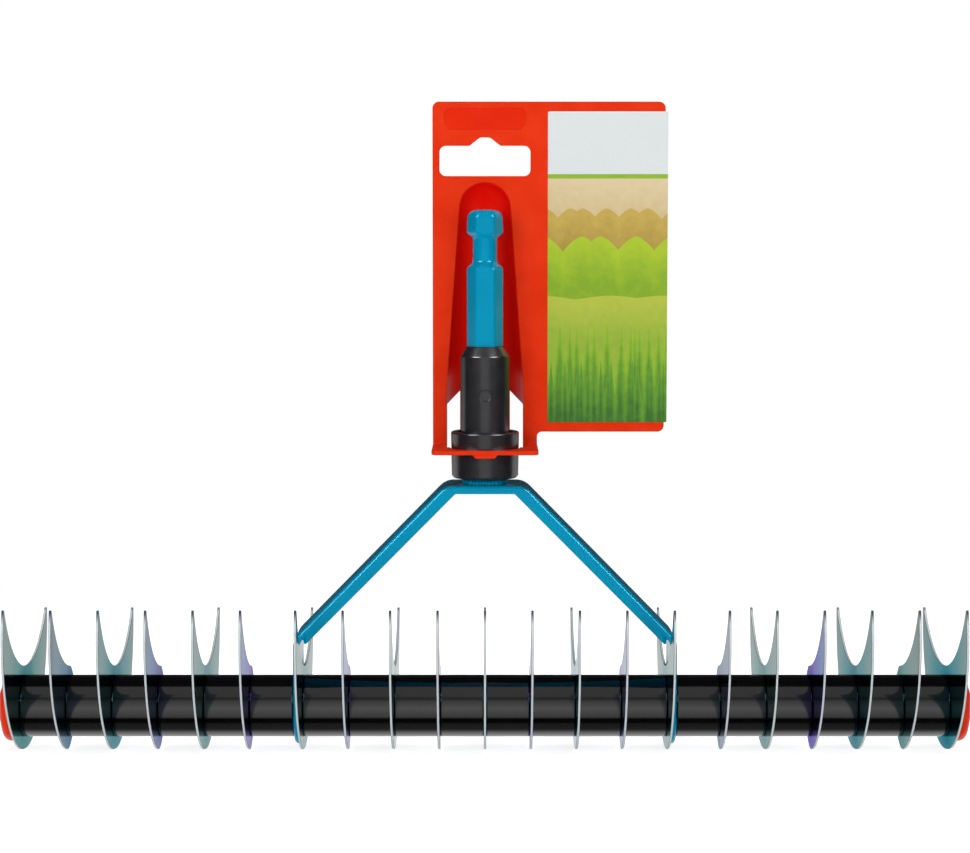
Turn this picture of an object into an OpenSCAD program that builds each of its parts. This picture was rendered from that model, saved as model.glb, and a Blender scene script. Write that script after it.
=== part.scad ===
// Thatch rake head for a plug-in handle.
// Millimetres. The origin is on the connector's axis at the top of the stop collar.
// +Z runs up the connector, X runs along the row of blades, and -Y is the front of the rake.

/* [Connector] */
// Width of the hexagon bar across its flats
hex_af = 19.5; // [16:0.5:22]
// Gap on each side of the hexagon in the parts threaded on it, and round the cross pin
hex_gap = 0.1; // [0.05:0.05:0.2]
// Length of bare hexagon above the sleeve
hex_show = 47.5; // [30:0.5:70]
// Diameter of the turned neck
neck_d = 14.8; // [10:0.2:15]
// Length of the neck, with the cone below it
neck_len = 18.7; // [12:0.1:26]
// Height of the cone between hexagon and neck
neck_cone = 3.6; // [2:0.1:6]
// Length of the knob at the end of the pin
knob_len = 16.7; // [14:0.1:24]
// Height of the cone under the knob
knob_cone = 2.2; // [1.5:0.1:5]
// Radius of the knob's rounded shoulder
knob_round = 5.2; // [3:0.1:6]
// Diameter of the sleeve that the handle fits over
sleeve_d = 30.4; // [27:0.1:34]
// Height of the sleeve above the stop collar
sleeve_len = 52; // [40:0.5:70]
// Height of the sloping top of the sleeve
sleeve_slope = 6; // [3:0.5:9]
// Width of the flat lip at the top of the sleeve
sleeve_lip = 0.4; // [0.2:0.1:1]
// Depth of the seat that the sleeve stands in
sleeve_seat = 2; // [1:0.5:4]
// Diameter of the cross pin that holds the sleeve
cross_pin_d = 6.6; // [4:0.2:8]
// Height of the cross pin above the collar
cross_pin_z = 22.7; // [15:0.1:26]
// How far the cross pin's ends lie below the sleeve's surface
cross_pin_inset = 1.2; // [0.5:0.1:2]
// Diameter of the stop collar at its top
collar_d = 41.6; // [39:0.2:48]
// Diameter of the stop collar at its foot
collar_foot_d = 40.6; // [38:0.2:47]
// Height of the stop collar
collar_h = 28.2; // [20:0.2:36]
// Chamfer at the collar's top edge
collar_edge = 0.6; // [0.3:0.1:1.5]
// Chamfer at the collar's foot
collar_foot_edge = 1.2; // [0.5:0.1:2]
// Room round the sleeve in the collar's seat
seat_gap = 1.4; // [1.2:0.1:2]

/* [Yoke] */
// Width of the flat bar
bar_w = 38; // [34:1:44]
// Thickness of the flat bar
bar_t = 4; // [3:0.5:6]
// Inside radius of the bends
bend_r = 8; // [5:0.5:9]
// Distance from the middle to the bend at each end of the bridge
bridge_half = 23.3; // [21:0.1:30]
// Height of the lower bends above the pivot axis
bend_height = 43.2; // [42:0.1:50]
// Distance from the collar's top down to the pivot axis
axis_drop = 170; // [150:1:220]
// How far the ears reach below the pivot axis
ear_reach = 23.4; // [21:0.1:30]
// Depth of the bar's turned-down edges under the bridge
flange_bridge = 1.2; // [0.5:0.1:3]
// Depth of the turned-down edges at the upper end of a leg
flange_upper = 4; // [2:0.1:6]
// Depth of the turned-down edges at the lower end of a leg
flange_lower = 3.5; // [1:0.1:5]
// Thickness of the turned-down edges
flange_t = 3; // [2:0.1:4]
// Gap between the end of the turned-down edges and the blade beside the ear
flange_gap = 1; // [0.5:0.1:3]
// Height of the weld round the foot of the hexagon
weld_h = 3; // [2.5:0.1:6]
// Width of the weld
weld_w = 3.8; // [2.5:0.1:5]
// Fullness of the weld, left outside its hollow
weld_full = 0.6; // [0.4:0.1:1.2]
// Gap between the weld and the stop collar
weld_top_gap = 0.2; // [0.1:0.1:1]

/* [Head] */
// Blades on each side of the middle one
blades_each_side = 10; // [6:1:10]
// The blade, counted from the middle one, that has a yoke ear beside it
ear_blade = 4; // [3:1:5]
// Angle of the head in the yoke, front horns raised when negative
head_tilt = -8.5; // [-12:0.5:12]
// Outside diameter of the spacers
spacer_d = 38; // [34:1:42]
// Length of a spacer
spacer_len = 26.5; // [22:0.5:32]
// Wall of a spacer, and of the hub and ribs inside it
spacer_wall = 2.2; // [1.5:0.1:3]
// Thickness of a blade
blade_t = 1.5; // [1:0.1:2.5]
// Radius of a blade's rounded underside
rocker_r = 72.3; // [66:0.1:80]
// How far a blade reaches below the axis
rocker_drop = 26.6; // [24:0.1:30]
// Height of the horn tips above the axis
horn_height = 59.5; // [54:0.5:66]
// Radius of the notch between the horns
notch_r = 87; // [82:1:89]
// Height of the notch's floor above the axis
notch_height = 24.6; // [22:0.1:26]
// Radius of the short round back of a one-horned blade
short_back_r = 26.5; // [26.2:0.1:30]
// How far that round back is centred in front of the axis
short_back_shift = 10; // [6:0.5:12]
// Side of the square axle
axle_side = 12; // [10:0.5:14]
// Gap on each side of the axle in the parts it carries
axle_gap = 0.1; // [0.05:0.05:0.2]
// Wall of a pivot bush at the corners of the axle
bush_wall = 2.5; // [2:0.1:3.5]
// Radial clearance of a bush in its ear
pivot_gap = 0.06; // [0.02:0.01:0.1]
// Gap between an ear and the parts on each side of it
ear_gap = 0.25; // [0.2:0.05:0.5]

/* [Ends] */
// Diameter of the axle's threaded ends
thread_d = 10; // [8:0.5:12]
// Length of thread left beyond the nut
thread_out = 1.2; // [0.5:0.1:3]
// Width of the nut across its flats
nut_af = 17; // [15:1:19]
// Height of the nut
nut_h = 7; // [6:0.5:10]
// Gap between thread and nut or washer
thread_gap = 0.05; // [0.02:0.01:0.1]
// Thickness of the end washer
washer_t = 2; // [1.5:0.5:3]
// Diameter of the end washer, which carries the cap
washer_d = 24; // [23:0.5:27]
// Gap between the washer's rim and the cap
cap_gap = 0.05; // [0.02:0.01:0.1]
// Wall of the cap
cap_wall = 2.2; // [1.5:0.1:3]
// Diameter of the cap's broad flange
cap_flange_d = 43.2; // [40:0.2:46]
// Thickness of the flange, which is hollow behind
cap_flange_t = 10.7; // [9:0.1:11]
// Radius of the flange's rounded edge
cap_flange_round = 4.5; // [3:0.5:5]
// Radius of the cap's rounded crown
cap_round = 6; // [4:0.5:6.5]
// Room between the thread's end and the cap
cap_room = 1; // [0.5:0.1:2]

/* [Hang tag] */
// Thickness of the moulded plate
tag_t = 2; // [1.2:0.1:3]
// Half the width of the plate's column behind the connector
tag_half = 32.3; // [30:0.1:36]
// Height of the plate's top edge above the collar's top
tag_top = 201; // [180:1:220]
// Reach of the plate's wing to the right of the connector
wing_reach = 111; // [90:1:130]
// Height of the wing's lower edge, below the collar's top when negative
wing_foot = -2.5; // [-6:0.5:10]
// Radius of the plate's corners
tag_corner = 4; // [2:0.5:6]
// Radius of the hollow corner under the wing
wing_fillet = 3; // [2:0.5:5]
// Distance from the collar to the plate behind it
tag_back_gap = 3.2; // [2:0.1:6]
// Depth of the ring's rim in front of the collar
ring_front = 5.2; // [3:0.1:8]
// Gap between the ring and the collar
ring_gap = 0.5; // [0.3:0.1:1]
// Depth of the ring's upper face below the collar's top
ring_drop = 9.8; // [6:0.1:14]
// Thickness of the ring
ring_t = 2.5; // [2:0.1:4]
// Half the width of the thumb tab on the ring's front
tab_half = 7.5; // [6.5:0.5:10]
// Half the width of the thumb tab at its foot
tab_foot_half = 5.8; // [4:0.1:6.4]
// How far the thumb tab hangs below the ring
tab_drop = 2; // [1:0.1:4]
// Height of the thumb dent in the ring's front above the tab
dent_rise = 1.8; // [1:0.1:1.9]
// Depth of the thumb dent where it meets the tab
dent_depth = 0.7; // [0.3:0.1:1.2]
// Outside radius of the fold between plate and ring
fold_r = 4; // [3:0.1:6]
// Half the length of the hanging slot
slot_half = 28; // [22:0.5:30]
// Height of the hanging slot
slot_h = 18.5; // [14:0.5:22]
// Distance from the plate's top edge to the slot
slot_below_top = 27; // [22:0.5:32]
// Rise of the notch that centres the hook
slot_peak = 5.1; // [2:0.1:6]
// Half the width of that notch at its foot
slot_peak_foot = 9.6; // [8:0.1:12]
// Slope of that notch's sides
slot_peak_slope = 38; // [36:1:44]
// Radius of that notch's upper corners
slot_peak_round = 4; // [2:0.5:4.5]
// Radius of the pocket's arched top in the plate
pocket_top_r = 16; // [14:0.5:20]
// Half the width of the pocket at its foot
pocket_foot_half = 24.5; // [20:0.5:26]
// Distance from the plate's top edge to the pocket's arch
pocket_below_top = 49.2; // [44:0.1:56]
// How far the pocket's round wall is centred in front of the plate
pocket_offset = 8; // [4:0.5:12]
// Wall of the pocket
pocket_wall = 1.6; // [1.2:0.1:2.5]
// How far the window reaches past the ring's hole on each side
window_side = 2.2; // [1:0.1:4]
// Height of the window's square shoulders above the collar's top
window_shoulder = 14.5; // [10:0.5:20]
// Rise of the window's middle above its shoulders
window_rise = 15; // [10:0.5:20]
// Half the width of the window's flat top
window_top_half = 8; // [5:0.5:12]
// Depth of the bare pressed panel at the plate's top
panel_depth = 0.5; // [0.2:0.1:0.8]
// Half the width of the pressed panel
panel_half = 25; // [15:0.5:28]
// Height of the pressed panel
panel_h = 13; // [10:0.5:16]
// Distance from the plate's top edge to the pressed panel
panel_below_top = 4; // [3:0.5:6]
// Thickness of the label card
card_t = 0.6; // [0.4:0.1:1]
// Distance from the card to the plate's edge on its inner side
card_inset = 6.4; // [4:0.1:10]
// How far the card stands out past the wing's edge
card_overhang = 1.6; // [0:0.1:4]
// Distance from the card to the plate's top and foot
card_margin = 6; // [4:0.5:10]
// Radius of the card's corners
card_corner = 1; // [0.5:0.5:3]

/* [Hidden] */
$fn = 96;
// A hair keeps two faces from lying exactly on each other; cuts run over the faces they go through
hair = 0.01;
over = 1;
far = 400;

pad_two = function (n) str(n < 10 ? "0" : "", n);
blade_count = 2 * blades_each_side + 1;
spacer_count = 2 * blades_each_side;
blade_name = function (n) str("blade_", pad_two(n));
spacer_name = function (n) str("spacer_", pad_two(n));

paint_blue = "#0A8FBC";
pin_blue = "#0A99BE";
matt_black = "#3A383C";
gloss_black = "#101114";
zinc = "#C3CDCE";
bush_white = "#E6E3DA";
tag_red = "#E83C20";
card_white = "#F2F4EC";

// The connector's heights, all above the collar's top
hex_top = sleeve_len + hex_show;
neck_top = hex_top + neck_len;
pin_top = neck_top + knob_len;
hex_r = hex_af / 2 / cos(30);
collar_r = collar_d / 2;
bridge_top = -(collar_h + weld_top_gap + weld_h);

// The yoke's centre line: bridge, upper bend, leg, lower bend, ear
bush_len = bar_t + 2 * ear_gap;
pitch = spacer_len + blade_t;
ear_x = ear_blade * pitch + blade_t / 2 + bush_len / 2;
axis_z = -axis_drop;
bridge_z = bridge_top - bar_t / 2;
corner_z = axis_z + bend_height;
leg_angle = atan2(bridge_z - corner_z, ear_x - bridge_half);
mid_r = bend_r + bar_t / 2;
upper_tangent = mid_r * tan(leg_angle / 2);
lower_tangent = mid_r * tan((90 - leg_angle) / 2);
leg_run = norm([ear_x - bridge_half, bridge_z - corner_z]);
leg_len = leg_run - upper_tangent - lower_tangent;
leg_start = [bridge_half + upper_tangent * cos(leg_angle), bridge_z - upper_tangent * sin(leg_angle)];
leg_normal = [sin(leg_angle), cos(leg_angle)];
leg_end = leg_start + leg_len * [cos(leg_angle), -sin(leg_angle)];
upper_centre = [bridge_half - upper_tangent, bridge_z - mid_r];
lower_centre = [ear_x - mid_r, corner_z - lower_tangent];
ear_end_z = axis_z - ear_reach + bar_w / 2;

// The lower line of the yoke's turned-down edges, from the bridge down a leg
edge_from = leg_start - (bar_t / 2 + flange_upper) * leg_normal;
edge_to = leg_end - (bar_t / 2 + flange_lower) * leg_normal;
edge_fall = (edge_from[1] - edge_to[1]) / (edge_to[0] - edge_from[0]);
bridge_edge_z = bridge_top - bar_t - flange_bridge;
bridge_edge_x = edge_from[0] + (edge_from[1] - bridge_edge_z) / edge_fall;
edge_end_x = ear_blade * pitch - blade_t / 2 - flange_gap;
edge_end_z = edge_from[1] - (edge_end_x - edge_from[0]) * edge_fall;

// The head's stack
bush_r = axle_side / sqrt(2) + bush_wall;
socket = axle_side + 2 * axle_gap;
spacer_r = spacer_d / 2;
thread_r = thread_d / 2;
washer_r = washer_d / 2;
cap_bore = washer_r + cap_gap;
cap_r = cap_bore + cap_wall;
cap_inside = washer_t + nut_h + thread_out + cap_room;
cap_h = cap_inside + cap_wall;
cap_flange_r = cap_flange_d / 2;
end_x = blade_x(blades_each_side) + blade_t / 2;

// The tag's places
tag_y = collar_r + tag_back_gap;
ring_hole = collar_r + ring_gap;
ring_y = -(collar_r + ring_front);
ring_foot = -(ring_drop + ring_t);
window_half = ring_hole + window_side;
slot_top = tag_top - slot_below_top;
arch_z = tag_top - pocket_below_top - pocket_top_r;
arch_r = norm([pocket_top_r, pocket_offset]);
foot_r = norm([pocket_foot_half, pocket_offset]);
card_left = tag_half + card_inset;
card_right = wing_reach + card_overhang;

// Place of a blade along the axle, counted from the middle blade; each bush moves the outer blades out
function blade_x(k) = k * pitch + (abs(k) > ear_blade ? sign(k) * bush_len : 0);

// Lays a flat shape in the YZ plane and pushes it along +X
module along_x(x, length) {
    translate([x, 0, 0])
        rotate([90, 0, 90])
            linear_extrude(length) children();
}

// Stands a flat shape in the XZ plane and pushes it along +Y
module along_y(y, length) {
    translate([0, y + length, 0])
        rotate([90, 0, 0])
            linear_extrude(length) children();
}

module hexagon(across_flats, foot, top) {
    translate([0, 0, foot])
        cylinder(h = top - foot, r = across_flats / 2 / cos(30), $fn = 6);
}

module rounded_rect(low, high, r) {
    translate([low[0] + r, low[1]])
        square([high[0] - low[0] - 2 * r, high[1] - low[1]]);
    translate([low[0], low[1] + r])
        square([high[0] - low[0], high[1] - low[1] - 2 * r]);
    for (x = [low[0] + r, high[0] - r], y = [low[1] + r, high[1] - r])
        translate([x, y]) circle(r);
}

// Everything that swings with the head is drawn about the axis and then set at its angle in the yoke
module on_axis() {
    translate([0, 0, axis_z])
        rotate([head_tilt, 0, 0]) children();
}

module both_sides() {
    children();
    mirror([1, 0, 0]) children();
}

// Connector

module pin_profile() {
    polygon([
        [0, bridge_top], [hex_r + hair, bridge_top], [hex_r + hair, hex_top],
        [neck_d / 2, hex_top + neck_cone], [neck_d / 2, neck_top],
        [hex_r + hair, neck_top + knob_cone], [hex_r + hair, pin_top - knob_round],
        [hex_r - knob_round, pin_top - knob_round], [hex_r - knob_round, pin_top], [0, pin_top]
    ]);
    intersection() {
        translate([hex_r - knob_round, pin_top - knob_round]) circle(knob_round);
        translate([0, pin_top - knob_round]) square([hex_r, knob_round]);
    }
}

module connector_pin() {
    color(pin_blue)
        difference() {
            intersection() {
                rotate_extrude() pin_profile();
                hexagon(hex_af, bridge_top, pin_top);
            }
            cross_hole();
        }
}

module cross_hole() {
    translate([0, 0, cross_pin_z])
        rotate([90, 0, 0])
            cylinder(h = 2 * sleeve_d, r = cross_pin_d / 2 + hex_gap, center = true);
}

module sleeve_pin() {
    color(matt_black)
        translate([0, 0, cross_pin_z])
            rotate([90, 0, 0])
                cylinder(h = sleeve_d - 2 * cross_pin_inset, r = cross_pin_d / 2, center = true);
}

module spigot_sleeve() {
    color(matt_black)
        difference() {
            rotate_extrude()
                polygon([
                    [0, -sleeve_seat], [sleeve_d / 2, -sleeve_seat],
                    [sleeve_d / 2, sleeve_len - sleeve_slope],
                    [hex_r + sleeve_lip, sleeve_len], [0, sleeve_len]
                ]);
            hexagon(hex_af + 2 * hex_gap, -sleeve_seat - over, sleeve_len + over);
            cross_hole();
        }
}

module stop_collar() {
    color(matt_black)
        difference() {
            rotate_extrude()
                polygon([
                    [0, -collar_h], [collar_foot_d / 2 - collar_foot_edge, -collar_h],
                    [collar_foot_d / 2, -collar_h + collar_foot_edge], [collar_r, -collar_edge],
                    [collar_r - collar_edge, 0], [0, 0]
                ]);
            translate([0, 0, -sleeve_seat]) cylinder(h = sleeve_seat + over, r = sleeve_d / 2 + seat_gap);
            hexagon(hex_af + 2 * hex_gap, -collar_h - over, over);
        }
}

module weld_bead() {
    foot_r = hex_r + weld_w;
    hollow_r = min(weld_w, weld_h) - weld_full;
    color(paint_blue)
        difference() {
            rotate_extrude()
                difference() {
                    translate([0, bridge_top]) square([foot_r, weld_h]);
                    translate([foot_r + hair, bridge_top + weld_h + hair]) circle(hollow_r);
                }
            hexagon(hex_af, bridge_top - over, bridge_top + weld_h + over);
        }
}

// Yoke

// A flat shape that is the same on both sides, from its right half
module mirrored_polygon(right) {
    left = [for (i = [len(right) - 1:-1:0]) [-right[i][0], right[i][1]]];
    polygon(concat(right, left));
}

// Everything under one face of the bent bar, seen from the front; r is that face's radius in the bends
module under_face(r, foot) {
    mirrored_polygon([
        upper_centre + r * [0, 1], upper_centre + r * leg_normal,
        lower_centre + r * leg_normal, lower_centre + r * [1, 0], [lower_centre[0] + r, foot]
    ]);
    for (side = [-1, 1], centre = [upper_centre, lower_centre])
        translate([side * centre[0], centre[1]]) circle(r);
}

module bent_bar() {
    along_y(-bar_w / 2, bar_w)
        difference() {
            under_face(bend_r + bar_t, axis_z - ear_reach);
            under_face(bend_r, axis_z - ear_reach - over);
        }
}

// An edge of the bar turned down along the bridge and both legs, which stops short of the ears
module turned_edge(y) {
    along_y(y, flange_t)
        difference() {
            under_face(mid_r, axis_z);
            mirrored_polygon([
                [bridge_edge_x, bridge_edge_z], [edge_end_x, edge_end_z], [edge_end_x, bridge_top],
                [2 * ear_x, bridge_top], [2 * ear_x, axis_z - over]
            ]);
        }
}

// What is cut from the ears to leave their ends round, seen from the side
module round_end_cut() {
    difference() {
        translate([-bar_w, ear_end_z - bar_w]) square([2 * bar_w, bar_w]);
        translate([0, ear_end_z]) circle(bar_w / 2 + hair);
    }
}

module yoke() {
    color(paint_blue)
        difference() {
            union() {
                bent_bar();
                turned_edge(-bar_w / 2);
                turned_edge(bar_w / 2 - flange_t);
            }
            along_x(-2 * ear_x, 4 * ear_x) round_end_cut();
            translate([0, 0, axis_z])
                rotate([0, 90, 0])
                    cylinder(h = 4 * ear_x, r = bush_r + pivot_gap, center = true);
        }
}

// Head

module square_hole() {
    square(socket, center = true);
}

module crescent() {
    difference() {
        translate([0, rocker_r - rocker_drop]) circle(rocker_r);
        translate([-far / 2, horn_height]) square([far, far]);
        translate([0, notch_height + notch_r]) circle(notch_r);
    }
}

// A one-horned blade keeps the front horn, and its back is cut round
module short_backed() {
    difference() {
        crescent();
        difference() {
            translate([-short_back_shift, -far / 2]) square([far, far]);
            translate([-short_back_shift, 0]) circle(short_back_r);
        }
    }
}

module blade(n) {
    k = n - 1 - blades_each_side;
    two_horned = (k + blades_each_side) % 2 == 0;
    color(zinc)
        on_axis()
            along_x(blade_x(k) - blade_t / 2, blade_t)
                difference() {
                    if (two_horned) crescent();
                    else short_backed();
                    square_hole();
                }
}

// A moulded spacer: outer tube, hub on the axle, and four ribs that join them
module spacer_section() {
    hub = socket + 2 * spacer_wall;
    difference() {
        circle(spacer_r);
        difference() {
            circle(spacer_r - spacer_wall);
            square(hub, center = true);
            square([spacer_d, spacer_wall], center = true);
            square([spacer_wall, spacer_d], center = true);
        }
        square_hole();
    }
}

module spacer(n) {
    k = n - 1 - blades_each_side;
    starts_after_bush = k == ear_blade;
    ends_at_bush = k + 1 == -ear_blade;
    low = blade_x(k) + blade_t / 2 + (starts_after_bush ? bush_len : 0);
    high = blade_x(k + 1) - blade_t / 2 - (ends_at_bush ? bush_len : 0);
    color(gloss_black)
        on_axis()
            along_x(low, high - low) spacer_section();
}

module pivot_bush() {
    color(bush_white)
        on_axis()
            along_x(ear_x - bush_len / 2, bush_len)
                difference() {
                    circle(bush_r);
                    square_hole();
                }
}

module pivot_bush_right() {
    pivot_bush();
}

module pivot_bush_left() {
    mirror([1, 0, 0]) pivot_bush();
}

module axle() {
    color(zinc)
        on_axis() {
            along_x(-end_x, 2 * end_x) square(axle_side, center = true);
            both_sides() along_x(end_x, washer_t + nut_h + thread_out) circle(thread_r);
        }
}

module end_washers() {
    color(zinc)
        on_axis()
            both_sides()
                along_x(end_x, washer_t)
                    difference() {
                        circle(washer_r);
                        circle(thread_r + thread_gap);
                    }
}

module end_nuts() {
    color(zinc)
        on_axis()
            both_sides()
                along_x(end_x + washer_t, nut_h)
                    difference() {
                        circle(nut_af / 2 / cos(30), $fn = 6);
                        circle(thread_r + thread_gap);
                    }
}

// Half the section of a round end, with its outer corner rounded
module rounded_end(r, h, corner) {
    square([r, h - corner]);
    square([r - corner, h]);
    intersection() {
        translate([r - corner, h - corner]) circle(corner);
        square([r, h]);
    }
}

module cap_profile() {
    difference() {
        union() {
            rounded_end(cap_flange_r, cap_flange_t, cap_flange_round);
            rounded_end(cap_r, cap_h, cap_round);
        }
        rounded_end(cap_bore, cap_inside, cap_round - cap_wall);
        translate([cap_r, 0])
            square([cap_flange_r - cap_wall - cap_r, cap_flange_t - cap_flange_round]);
    }
}

module end_cap() {
    color(tag_red)
        on_axis()
            translate([end_x, 0, 0])
                rotate([0, 90, 0])
                    rotate_extrude() cap_profile();
}

module end_cap_right() {
    end_cap();
}

module end_cap_left() {
    mirror([1, 0, 0]) end_cap();
}

// Hang tag

module hanging_slot() {
    side = [sin(slot_peak_slope), cos(slot_peak_slope)];
    round_z = slot_peak - slot_peak_round;
    round_x = slot_peak_foot - (slot_peak_round + round_z * side[1]) / side[0];
    right = [
        [slot_peak_foot, -hair], [round_x, round_z] + slot_peak_round * side, [round_x, slot_peak]
    ];
    rounded_rect([-slot_half, slot_top - slot_h], [slot_half, slot_top], tag_corner);
    translate([0, slot_top]) {
        mirrored_polygon(right);
        for (x = [-round_x, round_x])
            translate([x, round_z]) circle(slot_peak_round);
    }
}

module plate_outline() {
    rounded_rect([-tag_half, ring_foot + fold_r], [tag_half, tag_top], tag_corner);
    translate([-tag_half, ring_foot + fold_r]) square([2 * tag_half, tag_corner]);
    rounded_rect([0, wing_foot], [wing_reach, tag_top], tag_corner);
    difference() {
        translate([tag_half, wing_foot - wing_fillet]) square(wing_fillet);
        translate([tag_half + wing_fillet, wing_foot - wing_fillet]) circle(wing_fillet);
    }
}

module window() {
    foot = ring_foot - over;
    top = window_shoulder + window_rise;
    polygon([
        [-window_half, foot], [window_half, foot], [window_half, window_shoulder],
        [window_top_half, top], [-window_top_half, top], [-window_half, window_shoulder]
    ]);
}

// The pocket's round wall: a tapered shell with a domed top
module pocket_form(grow) {
    translate([0, tag_y - pocket_offset, 0]) {
        translate([0, 0, window_shoulder - over])
            cylinder(h = arch_z - window_shoulder + over, r1 = foot_r + grow, r2 = arch_r + grow);
        translate([0, 0, arch_z]) sphere(arch_r + grow);
    }
}

// The fold that turns the plate forward into the ring, seen from the side
module fold_section() {
    difference() {
        translate([tag_y + tag_t - fold_r, ring_foot + fold_r]) circle(fold_r);
        translate([tag_y + tag_t - fold_r, ring_foot + fold_r]) circle(fold_r - tag_t);
        translate([tag_y + tag_t - 3 * fold_r, ring_foot]) square([2 * fold_r, 2 * fold_r]);
        translate([tag_y + tag_t - 3 * fold_r, ring_foot + fold_r]) square([4 * fold_r, 2 * fold_r]);
    }
}

module ring_outline() {
    back = tag_y + tag_t - fold_r;
    difference() {
        union() {
            rounded_rect([-tag_half, ring_y], [tag_half, back], tag_corner);
            translate([-tag_half, back - tag_corner]) square([2 * tag_half, tag_corner]);
        }
        circle(ring_hole);
        translate([-window_half, 0]) square([2 * window_half, far]);
    }
}

// The tab that a thumb pushes up, and the dent above it in the ring's front
module thumb_tab() {
    top = ring_foot + ring_t;
    along_y(ring_y, ring_front - ring_gap)
        polygon([
            [-tab_half, top], [-tab_half, ring_foot], [-tab_foot_half, ring_foot - tab_drop],
            [tab_foot_half, ring_foot - tab_drop], [tab_half, ring_foot], [tab_half, top]
        ]);
}

module thumb_dent() {
    face_r = (tab_half * tab_half + dent_rise * dent_rise) / (2 * dent_rise);
    ahead = (tab_half * tab_half - dent_depth * dent_depth) / (2 * dent_depth);
    intersection() {
        translate([0, ring_y - ahead, ring_foot + dent_rise - face_r]) sphere(norm([ahead, face_r]));
        translate([-far / 2, -far, ring_foot]) cube([far, far, ring_t]);
    }
}

module hang_tag() {
    panel_top = tag_top - panel_below_top;
    color(tag_red)
        difference() {
            union() {
                along_y(tag_y, tag_t) plate_outline();
                intersection() {
                    pocket_form(pocket_wall);
                    translate([-far / 2, tag_y, 0]) cube([far, far, far]);
                }
                difference() {
                    along_x(-tag_half, 2 * tag_half) fold_section();
                    translate([-window_half, 0, ring_foot - over]) cube([2 * window_half, far, far]);
                }
                translate([0, 0, ring_foot]) linear_extrude(ring_t) ring_outline();
                thumb_tab();
            }
            thumb_dent();
            pocket_form(0);
            along_y(tag_y - over, far) window();
            along_y(tag_y - over, tag_t + 2 * over) hanging_slot();
            along_y(tag_y - over, over + panel_depth)
                rounded_rect([-panel_half, panel_top - panel_h], [panel_half, panel_top], tag_corner);
        }
}

module label_card() {
    color(card_white)
        along_y(tag_y - card_t, card_t)
            rounded_rect(
                [card_left, wing_foot + card_margin], [card_right, tag_top - card_margin], card_corner);
}

yoke();
connector_pin();
weld_bead();
stop_collar();
spigot_sleeve();
sleeve_pin();
axle();
pivot_bush_left();
pivot_bush_right();
end_washers();
end_nuts();
end_cap_left();
end_cap_right();
for (n = [1:blade_count])
    blade(n);
for (n = [1:spacer_count])
    spacer(n);
hang_tag();
label_card();
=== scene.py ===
# %% [markdown]
# # A thatch rake head
# This lesson dresses a rake head that pulls dead moss and thatch out of a lawn. A row of crescent
# blades turns with a square axle inside black spacers, a bent steel yoke carries the axle, and a
# hexagon connector plugs into a long handle. A red hang tag is clipped on below the connector. The
# solids come packed and in place, so the cells below give them rolled edges, finishes and light.

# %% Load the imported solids
import math

import bmesh
import bpy
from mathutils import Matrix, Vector
from mathutils.bvhtree import BVHTree


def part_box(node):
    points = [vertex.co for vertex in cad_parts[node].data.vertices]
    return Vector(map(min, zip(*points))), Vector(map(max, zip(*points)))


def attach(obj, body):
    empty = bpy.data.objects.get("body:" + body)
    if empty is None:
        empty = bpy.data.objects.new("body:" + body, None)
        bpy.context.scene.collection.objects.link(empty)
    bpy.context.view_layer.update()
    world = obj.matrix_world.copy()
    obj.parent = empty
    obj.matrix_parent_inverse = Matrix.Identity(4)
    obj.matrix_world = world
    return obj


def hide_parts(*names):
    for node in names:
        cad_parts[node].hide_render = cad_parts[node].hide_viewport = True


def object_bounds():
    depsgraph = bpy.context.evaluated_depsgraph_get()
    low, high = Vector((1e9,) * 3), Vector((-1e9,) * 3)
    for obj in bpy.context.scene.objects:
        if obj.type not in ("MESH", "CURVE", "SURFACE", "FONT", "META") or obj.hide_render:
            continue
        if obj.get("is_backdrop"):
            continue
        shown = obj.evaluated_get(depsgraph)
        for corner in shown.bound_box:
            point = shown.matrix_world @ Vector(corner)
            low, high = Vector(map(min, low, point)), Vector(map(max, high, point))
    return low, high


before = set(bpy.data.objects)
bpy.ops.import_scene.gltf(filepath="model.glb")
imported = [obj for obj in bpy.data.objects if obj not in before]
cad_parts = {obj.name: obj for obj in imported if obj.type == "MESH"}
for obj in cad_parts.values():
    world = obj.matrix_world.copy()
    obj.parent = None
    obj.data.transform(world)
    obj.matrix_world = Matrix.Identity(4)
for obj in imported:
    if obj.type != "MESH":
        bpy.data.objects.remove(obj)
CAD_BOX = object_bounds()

MM = 0.001
scene = bpy.context.scene

# %% [markdown]
# ## Helpers
# Colours are written as the hex values that a picture shows, and shaders count in linear light, so
# one function turns one into the other. The next adds a node with its settings and links, and short
# ones after it add the nodes that come up most: a step of arithmetic, a change of range, a mix of two
# colours, a noise and a ramp of tones. A noise's scale is counted per metre, so it is worked out from
# a real grain size in millimetres. The last ones start an empty material and make what most finishes
# share: a noise that drifts between two tones, and a skin whose gloss and bump follow noises.

# %% Helpers
MOTTLE_DARK, MOTTLE_LIGHT = 0.3, 0.7


def srgb(hex_code):
    """The linear colour of an sRGB hex value."""
    shares = [int(hex_code[i:i + 2], 16) / 255 for i in (1, 3, 5)]
    return [c / 12.92 if c <= 0.04045 else ((c + 0.055) / 1.055) ** 2.4 for c in shares] + [1.0]


def add(tree, kind, feeds=None, **settings):
    """Adds a node. Feeds are values or other nodes' outputs."""
    node = tree.nodes.new(kind)
    for name, value in settings.items():
        setattr(node, name, value)
    for socket, value in (feeds or {}).items():
        if isinstance(value, bpy.types.NodeSocket):
            tree.links.new(value, node.inputs[socket])
        else:
            node.inputs[socket].default_value = value
    return node


def calculate(tree, operation, *values):
    """The result of one step of arithmetic."""
    return add(tree, "ShaderNodeMath", dict(enumerate(values)), operation=operation).outputs[0]


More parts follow.
